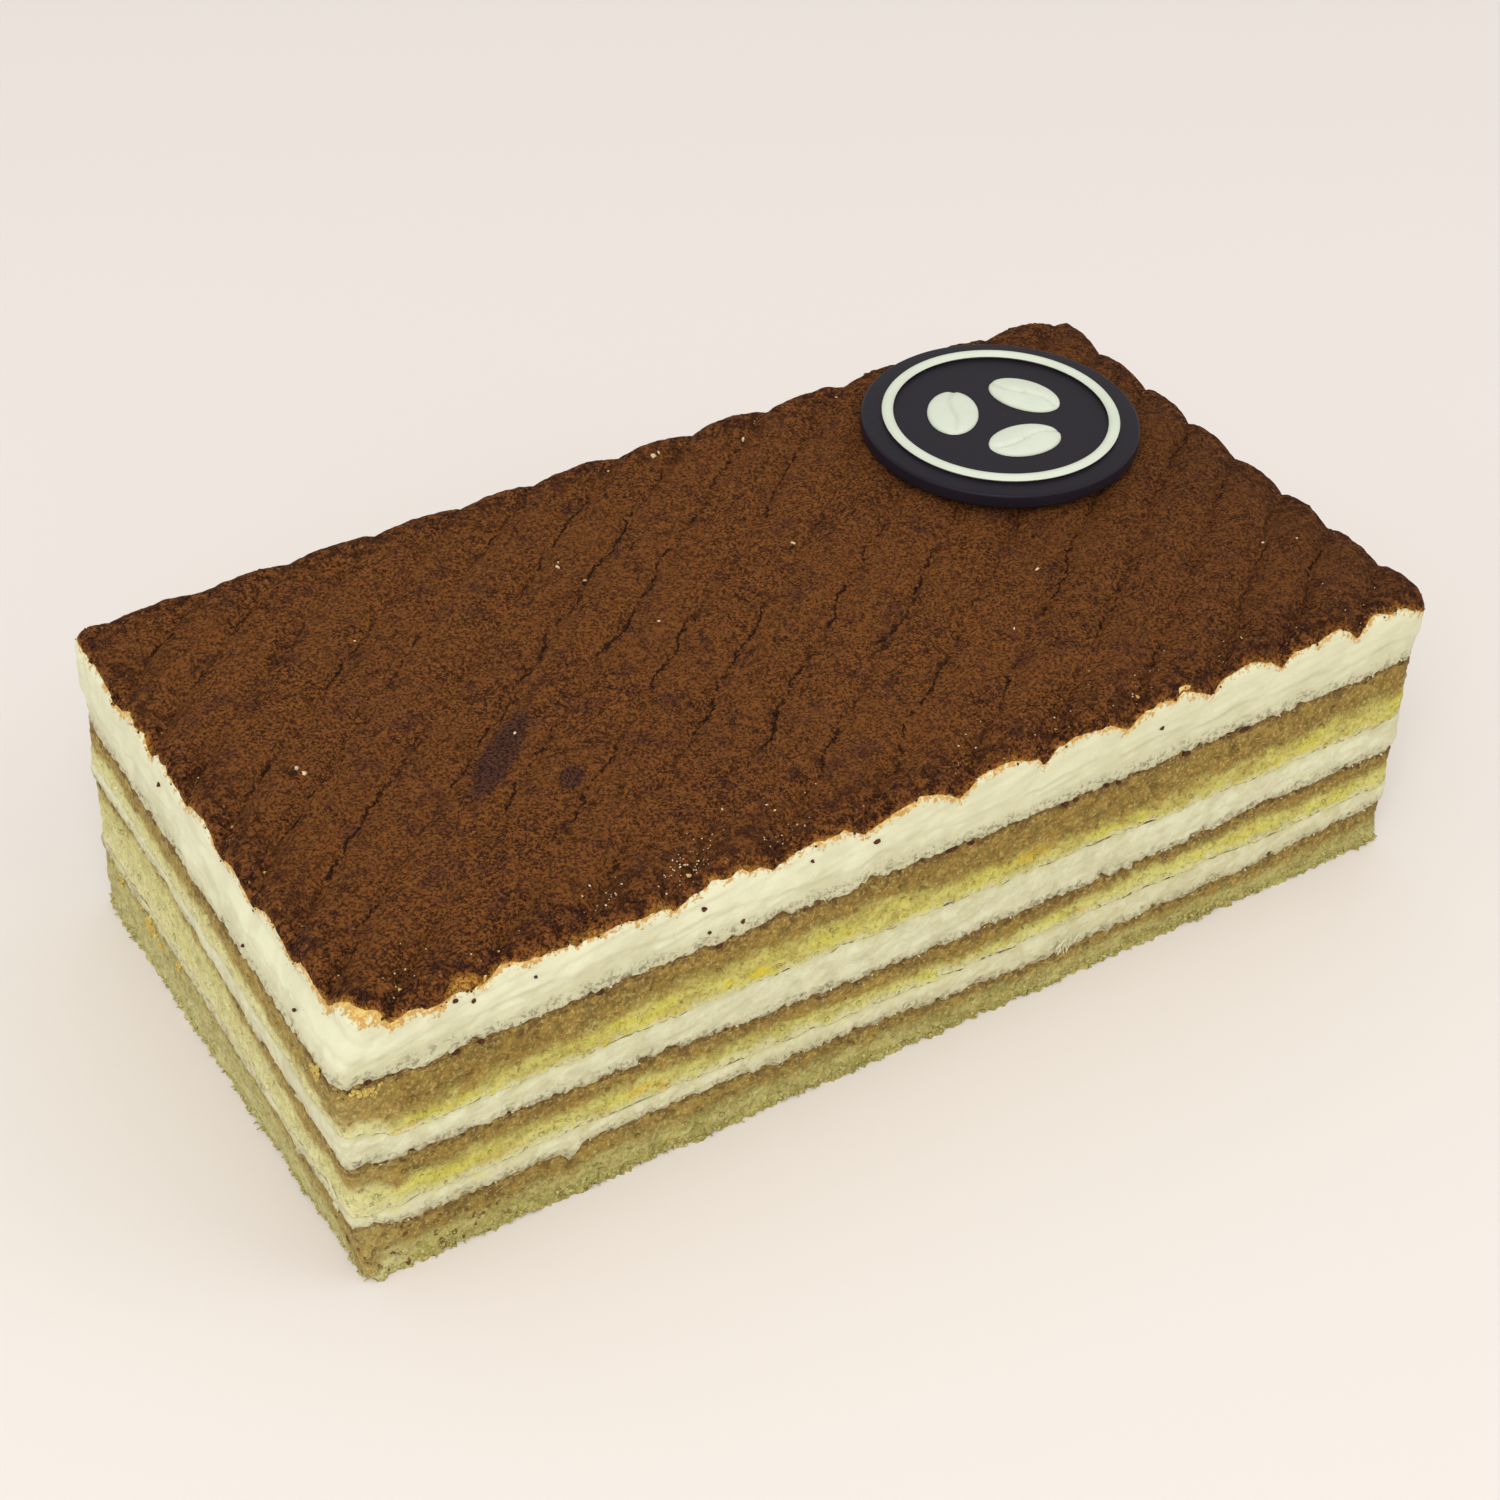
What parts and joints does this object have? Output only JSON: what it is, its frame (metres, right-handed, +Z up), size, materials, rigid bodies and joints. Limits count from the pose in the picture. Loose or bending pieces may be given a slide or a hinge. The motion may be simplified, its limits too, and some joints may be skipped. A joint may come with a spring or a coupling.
{
  "type": "tiramisu cake",
  "caption": "Whole rectangular tiramisu with layers of soaked sponge and mascarpone cream, a cocoa-dusted top piped in diagonal ridges and a round chocolate plaque.",
  "frame": {"origin": "centre of the plan, on the plane the cake stands on", "axes": "+X along the cake's long side, the plaque at its +X end; +Y from the front long side to the back one; +Z up"},
  "size_m": [0.2485, 0.122, 0.076],
  "materials": {
    "plain_sponge": "pale green-yellow sponge crumb, open and porous; matte_plastic stands in for food",
    "soaked_sponge": "moist yellow sponge, olive brown where it is soaked with coffee; matte_plastic stands in for food",
    "cream": "soft pale mascarpone cream, smoothed with a spatula; matte_plastic stands in for food",
    "cocoa": "dry, dead-matt cocoa powder with fine grain; matte_plastic stands in for food",
    "dark_chocolate": "smooth, faintly sheened dark chocolate; matte_plastic stands in for food",
    "ivory_chocolate": "smooth ivory-white chocolate; matte_plastic stands in for food"
  },
  "bodies": {
    "root": {"sponge_bottom": "plain_sponge", "cream_lower": "cream", "sponge_middle": "soaked_sponge", "cream_upper": "cream", "sponge_top": "soaked_sponge", "cream_top": "cream", "cocoa": "cocoa", "plaque": "dark_chocolate", "relief_ring": "ivory_chocolate", "relief_bean_1": "ivory_chocolate", "relief_bean_2": "ivory_chocolate", "relief_bean_3": "ivory_chocolate"}
  },
  "joints": []
}
